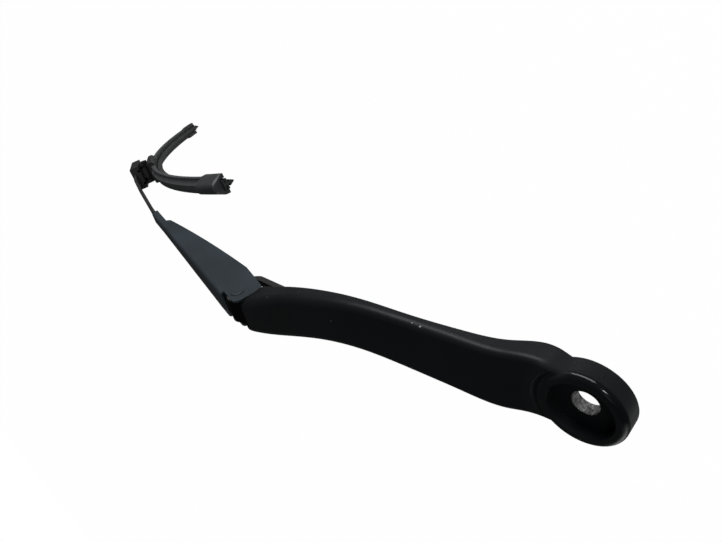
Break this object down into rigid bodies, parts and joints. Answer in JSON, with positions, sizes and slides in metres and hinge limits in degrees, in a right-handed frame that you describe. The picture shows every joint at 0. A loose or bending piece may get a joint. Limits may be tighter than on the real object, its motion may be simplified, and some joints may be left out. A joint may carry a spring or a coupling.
{
  "type": "windshield wiper",
  "caption": "Windshield wiper: a curved cast head, a spring-loaded folding arm and a bowed beam blade that rocks on its clip.",
  "frame": {"origin": "on the spindle bore's axis, at the underside of the eye", "axes": "+X from the spindle towards the blade, +Y across the arm, +Z away from the glass"},
  "size_m": [0.703, 0.1028, 0.2786],
  "materials": {
    "head_paint": "satin black paint over cast aluminium, bare metal in the bore",
    "arm_paint": "satin dark grey-black paint over stamped steel",
    "link_paint": "black coating over steel",
    "bush_bronze": "plain sintered bronze",
    "washer_plastic": "thin plastic",
    "spring_steel": "drawn spring steel",
    "pin_steel": "plain steel",
    "clip_plastic": "black moulded plastic",
    "strip_rubber": "soft black rubber",
    "spoiler_rubber": "dark grey-black rubber, slightly dull",
    "cap_plastic": "dark grey-black moulded plastic"
  },
  "bodies": {
    "head": {"arm_head": "head_paint", "hinge_bushes": "bush_bronze"},
    "arm": {"retainer_channel": "arm_paint", "hinge_pin": "arm_paint", "hinge_washers": "washer_plastic", "arm_rod": "arm_paint", "tension_spring": "spring_steel", "adapter_body": "clip_plastic"},
    "link": {"spring_link": "link_paint"},
    "blade": {"connector_base": "clip_plastic", "connector_pin": "pin_steel", "rail_inner": "spring_steel", "rail_outer": "spring_steel", "wiper_strip": "strip_rubber", "spoiler_near": "spoiler_rubber", "spoiler_far": "spoiler_rubber", "end_cap_near": "cap_plastic", "end_cap_far": "cap_plastic"},
    "button": {"adapter_button": "clip_plastic"}
  },
  "joints": [
    {"name": "arm_fold", "type": "hinge", "parent": "head", "child": "arm", "pos_m": [0.221, 0.0112, 0.0233], "axis": [0, -1, 0], "range_deg": [0, 65], "deforming": ["tension_spring"]},
    {"name": "link_swing", "type": "hinge", "parent": "head", "child": "link", "pos_m": [0.197, 0.0112, 0.0183], "axis": [0, -1, 0], "range_deg": [0, 40]},
    {"name": "blade_rock", "type": "hinge", "parent": "arm", "child": "blade", "pos_m": [0.50789, 0.01083, -0.07833], "axis": [-0.2051, 0.9784, 0.0266], "range_deg": [-9, 9]},
    {"name": "button_press", "type": "slide", "parent": "arm", "child": "button", "axis": [-0.4579, -0.0719, -0.8861], "range_m": [0, 0.0008], "stiffness_N_per_m": 2000, "springref_m": -0.0005}
  ],
  "couplings": [
    {"joint": "link_swing", "follows": "arm_fold", "ratio": 0.56}
  ]
}
